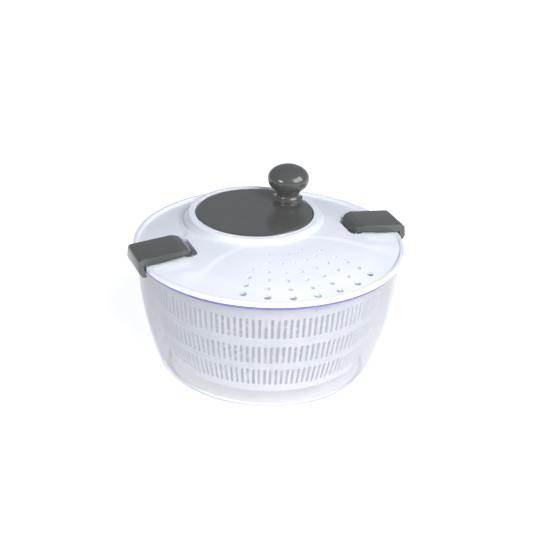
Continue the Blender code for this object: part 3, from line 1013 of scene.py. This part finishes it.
@dataclass
class Basket(SubAssembly):
    """The white basket: a slotted wall, a rim with drive notches, a slotted floor and a hub."""

    rim: float = measured("basket", "radius")
    top: float = measured("basket", "high.z")
    floor: float = 15.0
    base: float = 89.3
    base_height: float = 9.0
    bulge: float = 14.6
    wall: float = 1.6
    slots: int = 120
    bands: tuple[Point2, ...] = ((24.6, 43.0), (50.6, 69.2), (78.4, 98.8))
    notches: int = 4
    notch_middle: float = 5.25
    notch_angle: float = 7.5
    notch_depth: float = 4.0
    heel: float = 4.0
    corner: float = 4.5
    bead_heights: tuple[float, ...] = (46.8, 73.8)
    floor_slots: tuple[tuple[float, float, int], ...] = ((38, 20, 24), (64, 20, 36))
    floor_slot_half: float = 1.6
    floor_cut: Point2 = (12.0, 19.0)

    def radius(self, z: float) -> float:
        """Outer radius of the wall at a height."""
        wall = Flare(self.base_height, self.top, self.base, self.rim, self.bulge)
        return wall.radius(z)

    def rows(self) -> list[float]:
        """The heights at which the wall's sheet is divided."""
        marks = [self.floor + self.heel]
        for low, high in self.bands:
            marks += [low, (low + high) / 2, high]
        return marks + [self.top - self.notch_depth, self.top]

    def in_slot(self, angle: float, z: float) -> bool:
        """Whether a spot on the wall is open: a slot, or a notch for the drive plate's lug.

        Args:
            angle: Where the spot is round the wall.
            z: Its height.

        Returns:
            True where the wall is open.
        """
        column = int(angle // (180 / self.slots))
        slot = column % 2 == 1 and any(low < z < high for low, high in self.bands)
        aside = abs(angle % (360 / self.notches) - self.notch_middle)
        notch = z > self.top - self.notch_depth and aside < self.notch_angle / 2
        return slot or notch

    def make_wall(self) -> bpy.types.Object:
        """Turns the wall's sheet, opens its slots and gives it its thickness."""
        turn = self.corner
        middle = (self.radius(self.floor + self.heel) - turn, self.floor + turn)
        profile = arc(middle, turn, -90, -10, 5) + [(self.radius(z), z) for z in self.rows()[1:]]
        wall = turn_profile("basket_wall", profile, 2 * self.slots, solid=False)
        for face in wall.data.polygons:
            middle = face.center / MM
            face.select = self.in_slot(degrees(atan2(middle.y, middle.x)) % 360, middle.z)
        bpy.context.tool_settings.mesh_select_mode = (False, False, True)
        pick(wall)
        bpy.ops.object.mode_set(mode="EDIT")
        bpy.ops.mesh.delete(type="FACE")
        bpy.ops.object.mode_set(mode="OBJECT")
        bpy.context.tool_settings.mesh_select_mode = (True, False, False)
        thickness = self.wall * MM
        apply_modifier(wall, "SOLIDIFY", thickness=thickness, offset=-1, use_even_offset=True)
        return wall

    def make_floor(self) -> bpy.types.Object:
        """Turns the floor with its hub, and opens its slots."""
        edge = self.radius(self.floor + self.heel) - 4.6
        section = rounded(
            [
                (0, 20.5, 0),
                (7.0, 20.5, 0.4),
                (7.0, 15.3, 0.4),
                (edge, 15.05, 0),
                (edge, 16.6, 0),
                (26, 17.0, 3),
                (10, 17.4, 3),
                (8.6, 22.6, 1.2),
                (0, 22.6, 0),
            ]
        )
        floor = turn_profile("basket_floor", section, 120)
        cutters = []
        half = self.floor_slot_half
        under, over = self.floor_cut
        for ring, (middle, length, count) in enumerate(self.floor_slots):
            near, far = middle - length / 2, middle + length / 2
            slot = rounded_block(
                f"floor_slot_{ring}", (near, -half, under), (far, half, over), 1.5, 3
            )
            cutters += copies_round(slot, count, 180 / count)
        combine(floor, gather("floor_slots", cutters), Cut.REMOVE)
        return floor

    def make_beads(self) -> list[bpy.types.Object]:
        """Turns the thin beads that stiffen the wall between its slot bands."""
        beads = []
        for i, z in enumerate(self.bead_heights):
            section = arc((self.radius(z) - 0.3, z), 0.7, 0, 300, 5)
            beads.append(turn_profile(f"basket_bead_{i}", section, 120))
        return beads

    def build(self) -> None:
        """Models the basket."""
        parts = [self.make_wall(), self.make_floor(), *self.make_beads()]
        self.basket = gather("basket_body", parts)
        smooth(self.basket, 35)

    def dress(self) -> None:
        """Dresses the basket in white plastic."""
        BASKET_WHITE.paint(self.basket)
        self.fit(self.basket, "basket", "basket_plastic", "basket")


@dataclass
class Lid(SubAssembly):
    """The white lid: dome, lip, skirt, raised land, dished strainer, collar and clip pockets."""

    radius: float = measured("lid_shell", "high.y")
    collar_top: float = measured("lid_shell", "high.z")
    skirt_low: float = measured("lid_shell", "low.z")
    crank_y: float = measured("crank_cover", "centre.y")
    crown: float = 134.5
    rise: float = 11.5
    field_radius: float = 122.0
    lip: float = 124.2
    seat: float = 119.5
    skirt: float = 119.2
    wall: float = 2.0
    land_radius: float = 70.0
    arm: float = 23.0
    recess: float = 1.5
    dish_centre: Point2 = (2.0, -133.0)
    dish_radius: float = 118.0
    dish_step: float = 0.8
    dish_bowl: float = 1.4
    shoulder: float = 1.4
    facet_drop: float = 1.7
    facet_width: float = 22.0
    collar_foot: float = 64.6
    collar_bore: float = 56.4
    hole_rows: tuple[Point2, ...] = (
        (113.6, 3.3), (101.8, 2.3), (89.4, 2.2), (76.4, 2.0), (61.0, 1.8), (46.4, 1.4)
    )
    columns: int = 7
    column_step: float = 11.35
    middle_column: float = -88.8
    row_sag: float = 0.45
    hole_cut: Point2 = (114.0, 136.0)
    land_edge: Point2 = (-1.2, 1.6)
    land_blend: float = 14.0
    dish_edge: Point2 = (-3.0, 4.0)
    lip_zone: Point2 = (92.0, 112.0)
    arm_zone: Point2 = (100.0, 120.0)
    arm_side: Point2 = (-1.0, 4.0)
    shoulder_near: Point2 = (18.0, 20.5)
    shoulder_far: Point2 = (25.0, 37.0)
    shoulder_inner: Point2 = (83.0, 92.0)
    shoulder_outer: Point2 = (110.0, 119.0)
    top_steps: int = 80
    rim_gap_reach: Point2 = (124.0, 132.0)
    rim_gap_cut: Point2 = (105.0, 140.0)
    slack: float = 0.001
    clip_half: float = 18.0
    hinge_x: float = measured("right_clip_pin", "centre.x")
    flats: int = 360

    def dome(self, r: float) -> float:
        """Height of the plain dome at a distance from the lid's axis."""
        return self.crown - self.rise * (r / self.field_radius) ** 2

    def relief(self, x: float, y: float) -> float:
        """How far the moulded surface stands over the plain dome.

        Args:
            x: Place across the lid.
            y: Place along the lid.

        Returns:
            The height, which is negative in the recesses and the dish.
        """
        away = hypot(x, y - self.crank_y) - self.land_radius
        behind = y - self.arm
        recess = ramp(*self.land_edge, smooth_least(away, behind, self.land_blend))
        inward = self.dish_radius - hypot(x - self.dish_centre[0], y - self.dish_centre[1])
        outer = ramp(*self.lip_zone, hypot(x, y))
        step = self.dish_step + self.facet_drop * outer
        edge_out, edge_in = self.dish_edge
        dish = step * ramp(edge_out - self.facet_width * outer, edge_in, inward)
        dish += self.dish_bowl * (1 - outer) * ramp(0, self.dish_radius, inward)
        side_in, side_out = self.arm_side
        along, across = abs(y), abs(x)
        narrow = 1 - ramp(self.arm + side_in, self.arm + side_out, along)
        arm = ramp(*self.arm_zone, across) * narrow
        beside = ramp(*self.shoulder_near, along) * (1 - ramp(*self.shoulder_far, along))
        inner = self.shoulder * beside * ramp(*self.shoulder_inner, across)
        shoulder = inner * (1 - ramp(*self.shoulder_outer, across))
        raised = arm * (self.lip - self.dome(self.field_radius)) + shoulder
        return raised - self.recess * recess - dish

    def section(self) -> list[Point2]:
        """The lid's section, out along the top, round the lip and skirt, and back underneath."""
        radii = [self.field_radius * i / self.top_steps for i in range(self.top_steps + 1)]
        top = [(r, self.dome(r)) for r in radii]
        inner_skirt = self.skirt - self.wall
        edge = rounded(
            [
                (self.field_radius, self.dome(self.field_radius), 0),
                (self.field_radius + 0.7, self.lip, 0.7),
                (self.radius, self.lip, 1.3),
                (self.radius, self.seat, 0.5),
                (self.skirt, self.seat, 0.3),
                (self.skirt, self.skirt_low, 0.6),
                (inner_skirt, self.skirt_low, 0.6),
                (inner_skirt, self.dome(inner_skirt) - self.wall, 1.5),
                (inner_skirt - 6, self.dome(inner_skirt - 6) - self.wall, 0),
            ]
        )
        under = [(r, self.dome(r) - self.wall) for r in range(108, -1, -6)]
        return top + edge[1:] + under

    def holes(self) -> list[bpy.types.Object]:
        """Cutters for the strainer's columns of holes."""
        made = []
        for column in range(self.columns):
            across = column - (self.columns - 1) / 2
            angle = radians(self.middle_column + self.column_step * across)
            for row, (middle_orbit, hole) in enumerate(self.hole_rows):
                if row == len(self.hole_rows) - 1 and column in (0, self.columns - 1):
                    continue
                orbit = middle_orbit - self.row_sag * across**2
                spot = (orbit * cos(angle), orbit * sin(angle))
                made.append(drill(12, hole, *self.hole_cut, spot))
        return made

    def pocket(self, side: int, grow: float, low: float, high: float) -> bpy.types.Object:
        """A rounded block where a clip's hinge end sits.

        Args:
            side: 1 on +X and -1 on -X.
            grow: How far it is larger than the opening.
            low: Its bottom.
            high: Its top.

        Returns:
            The block.
        """
        half = self.clip_half + 0.7 + grow
        near, far = self.hinge_x - 6.9 - grow, self.hinge_x + 6.4 + grow
        xs = (near, far) if side > 0 else (-far, -near)
        name = f"pocket_{side}_{low:.0f}"
        return rounded_block(name, (xs[0], -half, low), (xs[1], half, high), 5 + grow)

    def rim_gap(self, side: int) -> bpy.types.Object:
        """The notch in the lip where a clip's hook passes.

        Args:
            side: 1 on +X and -1 on -X.

        Returns:
            Its cutter.
        """
        half = self.clip_half + 0.8
        near, far = self.rim_gap_reach
        low, high = self.rim_gap_cut
        xs = (near, far) if side > 0 else (-far, -near)
        return rounded_block(f"rim_gap_{side}", (xs[0], -half, low), (xs[1], half, high), 0)

    def shape_surface(self, lid: bpy.types.Object) -> None:
        """Presses the land, the recesses and the dish into the dome, top and underside alike.

        Args:
            lid: The turned dome.
        """
        for vertex in lid.data.vertices:
            x, y, z = vertex.co / MM
            r = hypot(x, y)
            if r < self.field_radius + self.slack and z > self.seat + 0.5:
                vertex.co.z += self.relief(x, y) * MM

    def collar(self) -> bpy.types.Object:
        """The raised rim round the crank, with a fine bead and groove at its bore."""
        section = rounded(
            [
                (self.collar_foot + 2.6, self.collar_top - 7.5, 0),
                (self.collar_foot - 0.3, self.collar_top - 3.6, 2.2),
                (self.collar_foot - 1.6, self.collar_top, 2.2),
                (self.collar_bore + 1.9, self.collar_top, 0.3),
                (self.collar_bore + 1.5, self.collar_top - 0.5, 0.2),
                (self.collar_bore + 1.1, self.collar_top, 0.3),
                (self.collar_bore, self.collar_top, 0.5),
                (self.collar_bore, 123.8, 0),
                (self.collar_bore + 2, 123.8, 0),
                (self.collar_bore + 2, self.collar_top - 2, 1),
                (self.collar_foot - 2.4, self.collar_top - 2.4, 1),
                (self.collar_foot - 2.4, 123.8, 0),
                (self.collar_foot, 123.8, 0),
            ]
        )
        ring = turn_profile("collar", section, 200)
        settle(ring, (0, self.crank_y, 0))
        return ring

    def build(self) -> None:
        """Models the lid."""
        self.lid = turn_profile("lid_dome", self.section(), self.flats)
        self.shape_surface(self.lid)
        crank_hole = drill(160, self.collar_foot - 0.6, 105, 145, (0, self.crank_y))
        cutters = [crank_hole, *self.holes()]
        trays = []
        for side in (1, -1):
            cutters += [self.pocket(side, 0, 121.0, 145), self.rim_gap(side)]
            trays.append(self.pocket(side, 1.8, 119.8, 127.6))
            combine(trays[-1], self.pocket(side, 0, 121.6, 145), Cut.REMOVE)
        combine(self.lid, gather("lid_cutters", cutters), Cut.REMOVE)
        self.lid = gather("lid_body", [self.lid, self.collar(), *trays])
        smooth(self.lid, 40)

    def dress(self) -> None:
        """Dresses the lid in white plastic."""
        LID_WHITE.paint(self.lid)
        self.fit(self.lid, "lid", "white_plastic", "lid_shell")


@dataclass
class Crank(SubAssembly):
    """The dark crank disc with the knob's boss, and the knob that turns on it."""

    radius: float = measured("crank_cover", "radius")
    centre: Vector = measured("crank_cover", "centre")
    low: float = measured("crank_cover", "low.z")
    boss_top: float = measured("crank_cover", "high.z")
    knob: Extent = field(default_factory=lambda: Extent.of("crank_knob"))
    top: float = 138.6
    boss: float = 12.0
    foot_ring: float = 14.6
    waist: float = 162.7
    below: float = 15.4

    def make_disc(self) -> bpy.types.Object:
        """Turns the disc's shell, whose top edge is rolled over."""
        r, top = self.radius, self.top
        section = rounded(
            [
                (0, top, 0),
                (r - 3.4, top, 0.6),
                (r - 2.6, top - 0.25, 0.6),
                (r - 1.1, top - 0.3, 1.0),
                (r, top - 1.6, 1.0),
                (r, self.low, 0.3),
                (r - 2.2, self.low, 0.3),
                (r - 2.2, top - 2, 0.5),
                (0, top - 2, 0),
            ]
        )
        disc = turn_profile("crank_disc", section, 200)
        settle(disc, (0, self.centre.y, 0))
        return disc

    def make_boss(self) -> bpy.types.Object:
        """Turns the round step that the knob stands on."""
        section = rounded(
            [
                (0, self.top - 1, 0),
                (self.boss + 0.6, self.top - 1, 0),
                (self.boss + 0.6, self.top + 0.4, 0.4),
                (self.boss - 0.2, self.top + 0.9, 0.5),
                (self.boss - 0.5, self.boss_top - 0.4, 0.7),
                (self.boss - 2.6, self.boss_top, 1.0),
                (0, self.boss_top, 0),
            ]
        )
        boss = turn_profile("knob_boss", section, 96)
        settle(boss, (self.knob.centre.x, self.knob.centre.y, 0))
        return boss

    def ball_side(self, angle: float) -> float:
        """The ball's radius at an angle below or above its waist."""
        return self.knob.radius * cos(radians(angle))

    def make_knob(self) -> bpy.types.Object:
        """Turns the knob: a flared neck that swells into a flattened ball."""
        above = self.knob.high.z - self.waist
        low = self.knob.low.z
        under = rounded(
            [
                (3.4, low, 0),
                (13.8, low + 0.3, 0.4),
                (self.foot_ring, low + 1.3, 0.7),
                (12.2, low + 2.5, 1.0),
                (10.5, low + 5.0, 2.6),
                (self.ball_side(-50), self.waist + self.below * sin(radians(-50)), 6.0),
                (self.ball_side(-26), self.waist + self.below * sin(radians(-26)), 0),
            ],
            6,
        )
        for a in (-18, -12, -6):
            under.append((self.ball_side(a), self.waist + self.below * sin(radians(a))))
        over = [(self.ball_side(a), self.waist + above * sin(radians(a))) for a in range(0, 90, 6)]
        bore = [(0, 159.0), (5.2, 159.0), (5.2, 152.6), (3.4, 152.6)]
        outline = [*bore, *under, *over, (0.0, self.knob.high.z)]
        knob = turn_profile("crank_knob_ball", outline, 96)
        settle(knob, (self.knob.centre.x, self.knob.centre.y, 0))
        return knob

    def build(self) -> None:
        """Models the disc with its boss, and the knob."""
        self.disc = gather("crank_top", [self.make_disc(), self.make_boss()])
        self.ball = self.make_knob()
        for piece in (self.disc, self.ball):
            smooth(piece, 40)

    def dress(self) -> None:
        """Dresses both in dark plastic."""
        for piece in (self.disc, self.ball):
            DARK_GREY.paint(piece)
        self.fit(self.disc, "crank", "grey_plastic", "crank_cover")
        self.fit(self.ball, "knob", "grey_plastic", "crank_knob")


class Side(Enum):
    """Which side of the lid a clip is on."""

    RIGHT = 1
    LEFT = -1

    @property
    def node(self) -> str:
        """The name of the clip's CAD node and body."""
        return f"{self.name.lower()}_clip"


@dataclass
class Clips(SubAssembly):
    """The two dark clips: a flat lever, a hinge barrel at its inner end and a hook at its outer."""

    reach: float = measured("right_clip", "high.x")
    top: float = measured("right_clip", "high.z")
    half: float = measured("right_clip", "high.y")
    pin: Vector = measured("right_clip_pin", "centre")
    barrel: float = 4.4
    toe: float = 113.6
    swing: float = 44.18
    plan_corner: float = 13.0
    lid: Lid = field(default_factory=Lid)

    def inner_face(self, z: float) -> float:
        """Where the hook's inner face stands, which swings clear of the bowl's rim."""
        return self.pin.x + sqrt(self.swing**2 - (self.pin.z - z) ** 2)

    def side_view(self) -> list[Point2]:
        """The clip's outline seen from the side, for the right clip."""
        pin = (self.pin.x, self.pin.z)
        barrel = arc(pin, self.barrel, 20, -205, 24)
        lever = rounded(
            [
                (*barrel[-1], 0),
                (self.pin.x + 1.6, self.top - 0.4, 1.2),
                (self.pin.x + 8.0, self.top + 0.6, 6),
                (self.reach - 0.9, self.top - 3.4, 4.5),
                (self.reach, self.top - 15.4, 5),
                (self.reach - 4.4, self.toe, 2.0),
                (self.inner_face(self.toe), self.toe, 0),
            ]
        )[1:]
        hook = [(self.inner_face(z), z) for z in (115.0, 117.0, 119.0)]
        lip = self.lid.lip
        under = [(126.6, 121.4), (126.6, lip + 1.0), (self.lid.field_radius, lip + 0.6)]
        under += [(r, self.lid.dome(r) + 1.3) for r in (112, 104, 96, 89)]
        return barrel + lever + hook + under

    def make_right(self) -> bpy.types.Object:
        """Models the right clip, with its inner end rounded in plan and its underside relieved."""
        outline = [(x, -self.half, z) for x, z in self.side_view()]
        clip = extrude_outline("clip_lever", outline, (0, 2 * self.half, 0))
        near, far = self.pin.x - self.barrel - 0.1, self.reach + 20
        plan = rounded_block(
            "clip_plan", (near, -self.half, 105), (far, self.half, 140), self.plan_corner
        )
        combine(clip, plan, Cut.KEEP_COMMON)
        soften(clip, 0.9, 4, 35)
        return clip

    def build(self) -> None:
        """Models one clip and turns a copy of it to the other side."""
        right = self.make_right()
        left = copy_of(right, "clip_lever_left")
        settle(left, turn_z=180)
        self.levers = {Side.RIGHT: right, Side.LEFT: left}
        for lever in self.levers.values():
            smooth(lever, 40)

    def dress(self) -> None:
        """Dresses the clips in dark plastic."""
        for side, lever in self.levers.items():
            lever.name = f"{side.node}_lever"
            DARK_GREY.paint(lever)
            self.fit(lever, side.node, "grey_plastic", side.node)


@dataclass
class DrivePlate(SubAssembly):
    """The white spoked plate under the lid whose lugs turn the basket."""

    radius: float = 112.5
    bore: float = 101.0
    low: float = 109.3
    high: float = 112.3
    hub_low: float = 106.8
    hub_high: float = measured("drive_plate", "high.z")
    lug_low: float = measured("drive_plate", "low.z")
    lugs: int = 4
    lug_angle: float = 5.0

    def make_ring(self) -> bpy.types.Object:
        """Turns the outer ring with softened edges."""
        section = rounded(
            [
                (self.bore + 3, self.high, 0),
                (self.bore, self.high, 0.7),
                (self.bore, self.low, 0.7),
                (self.radius, self.low, 0.7),
                (self.radius, self.high, 0.7),
                (self.bore + 3, self.high, 0),
            ],
            3,
        )
        return turn_profile("drive_ring", section[:-1], 160)

    def make_hub(self) -> bpy.types.Object:
        """Turns the hub and cuts its hexagon."""
        section = rounded(
            [
                (0, self.hub_low, 0),
                (9, self.hub_low, 0.6),
                (9, self.hub_high, 0.6),
                (0, self.hub_high, 0),
            ]
        )
        hub = turn_profile("drive_hub", section, 64)
        combine(hub, drill(6, 4.4, 100, 120, (0, 0)), Cut.REMOVE)
        return hub

    def make_spokes(self) -> list[bpy.types.Object]:
        """Copies one softened spoke to the four quarters."""
        low, high = self.low + 0.4, self.high - 0.2
        spoke = rounded_block("spoke", (8, -5, low), (self.bore + 2, 5, high), 1.5, 3)
        soften(spoke, 0.4, 2)
        return copies_round(spoke, 4, 45)

    def make_lugs(self) -> list[bpy.types.Object]:
        """Copies one softened lug to each notch."""
        inner, outer = (107.6, -6.6, self.lug_low), (111.8, 6.6, self.low + 1)
        lug = rounded_block("lug", inner, outer, 1.0, 3)
        soften(lug, 0.4, 2)
        return copies_round(lug, self.lugs, self.lug_angle)

    def build(self) -> None:
        """Models the plate."""
        parts = [self.make_ring(), self.make_hub(), *self.make_spokes(), *self.make_lugs()]
        self.plate = gather("drive_spider", parts)
        smooth(self.plate, 35)

    def dress(self) -> None:
        """Dresses the plate in white plastic."""
        LID_WHITE.paint(self.plate)
        self.fit(self.plate, "drive", "white_plastic", "drive_plate")


@dataclass
class Mechanism(SubAssembly):
    """The working parts whose CAD shape is right and which only need their finishes."""

    finishes: dict[str, Finish] = field(
        default_factory=lambda: {
            "basket_bearing": ACETAL,
            "gear_cover": LID_WHITE,
            "ring_gear": ACETAL,
            "pinion": ACETAL,
            "pinion_bush": BRASS,
            "crank_bush": BRASS,
        }
    )

    def build(self) -> None:
        """Lists every shown CAD node that isn't named above as steel."""
        for name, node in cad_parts.items():
            if not node.hide_render:
                self.finishes.setdefault(name, STEEL)

    def dress(self) -> None:
        """Gives each CAD node its finish."""
        for name, finish in self.finishes.items():
            finish.paint(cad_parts[name])
            log.info("%s keeps its CAD shape in %s", name, finish.label)


# ---------------------------------------------------------------------------- studio


@dataclass(frozen=True)
class SoftLamp:
    """A soft lamp: where it hangs round the object in degrees and metres, its size and its watts.

    A lamp that is mirror_only shows in reflections and lights nothing else. Any other lamp
    lights the surfaces and doesn't show in reflections.
    """

    name: str
    azimuth: float
    elevation: float
    distance: float
    size: Point2
    power: float
    mirror_only: bool = True


@dataclass
class Studio:
    """The floor, the lights and the camera."""

    azimuth: float = -21.8
    elevation: float = 26.83
    roll: float = 1.85
    distance: float = 1500.0
    target_height: float = 70.0
    lens: float = 106.85
    shift: Point2 = (-0.0012, 0.0501)
    air: float = 0.4
    air_colour: Colour = (0.84, 0.89, 1.0)
    floor_glow: float = 0.65
    floor_size: float = 24.0
    floor_tones: tuple[Colour, Colour] = ((0.9, 0.9, 0.905), (0.88, 0.88, 0.885))
    floor_patch: float = 400.0
    sensor: float = 36.0
    lamps: tuple[SoftLamp, ...] = (
        SoftLamp("front_lamp", 4, 42, 1.5, (0.7, 0.5), 23, False),
        SoftLamp("right_lamp", 42, 35, 1.4, (1.3, 0.9), 24),
        SoftLamp("left_lamp", -67, 24, 1.4, (0.5, 0.34), 8),
    )

    def make_floor(self) -> None:
        """Lays a wide pale floor that glows a little, like a lit table."""
        deselect()
        bpy.ops.mesh.primitive_plane_add(size=self.floor_size)
        floor = bpy.context.object
        floor.name = "studio_floor"
        sheet = ShaderSheet("studio_floor")
        mottle = sheet.noise(self.floor_patch, 2)
        material = sheet.dress(
            Base_Color=sheet.blend(mottle, *self.floor_tones),
            Roughness=0.75,
            Emission_Color=(1.0, 1.0, 1.0),
            Emission_Strength=self.floor_glow,
        )
        floor.data.materials.append(material)

    def make_world(self) -> None:
        """Lights the room evenly with pale air."""
        world = bpy.data.worlds.new("studio_air")
        world.use_nodes = True
        air = world.node_tree.nodes["Background"]
        air.inputs["Color"].default_value = (*self.air_colour, 1.0)
        air.inputs["Strength"].default_value = self.air
        bpy.context.scene.world = world

    def toward(self, azimuth: float, elevation: float, distance: float) -> Vector:
        """Finds a place round the object.

        Args:
            azimuth: 0 is straight in front and 90 is on the object's right.
            elevation: How high it is, as an angle.
            distance: How far it is from the aim point, in metres.

        Returns:
            The place, in metres.
        """
        a, e = radians(azimuth), radians(elevation)
        flat = distance * cos(e)
        return Vector((flat * sin(a), -flat * cos(a), distance * sin(e) + self.target_height * MM))

    def make_lamp(self, lamp: SoftLamp) -> None:
        """Hangs a rectangular soft lamp that faces the object.

        Args:
            lamp: The lamp.
        """
        light = bpy.data.lights.new(lamp.name, "AREA")
        light.shape = "RECTANGLE"
        light.size, light.size_y = lamp.size
        light.energy = lamp.power
        holder = bpy.data.objects.new(lamp.name, light)
        bpy.context.scene.collection.objects.link(holder)
        holder.visible_glossy = lamp.mirror_only
        holder.visible_diffuse = not lamp.mirror_only
        holder.location = self.toward(lamp.azimuth, lamp.elevation, lamp.distance)
        aim = Vector((0, 0, self.target_height * MM)) - holder.location
        holder.rotation_euler = aim.to_track_quat("-Z", "Y").to_euler()

    def make_camera(self) -> None:
        """Stands the camera at the front left, looking slightly down."""
        a, e = radians(self.azimuth), radians(self.elevation)
        back = Vector((sin(a) * cos(e), -cos(a) * cos(e), sin(e)))
        lens = bpy.data.cameras.new("camera")
        lens.lens = self.lens
        lens.sensor_width = self.sensor
        lens.shift_x, lens.shift_y = self.shift
        camera = bpy.data.objects.new("camera", lens)
        bpy.context.scene.collection.objects.link(camera)
        camera.location = Vector((0, 0, self.target_height * MM)) + back * self.distance * MM
        upright = (-back).to_track_quat("-Z", "Y").to_matrix().to_4x4()
        tilt = Matrix.Rotation(radians(self.roll), 4, "Z")
        camera.rotation_euler = (upright @ tilt).to_euler()
        bpy.context.scene.camera = camera

    def build(self) -> None:
        """Sets up the studio."""
        self.make_floor()
        self.make_world()
        for lamp in self.lamps:
            self.make_lamp(lamp)
        self.make_camera()
        bpy.context.scene.view_settings.view_transform = "Standard"


def main() -> None:
    """Builds every sub-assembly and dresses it."""
    logging.basicConfig(level=logging.INFO, format="%(name)s: %(message)s")
    Studio().build()
    groups: list[type[SubAssembly]] = [Bowl, Basket, Lid, Crank, Clips, DrivePlate, Mechanism]
    for group in [made() for made in groups]:
        group.build()
        group.dress()
        log.info("%s is finished", type(group).__name__)


if __name__ == "__main__":
    main()
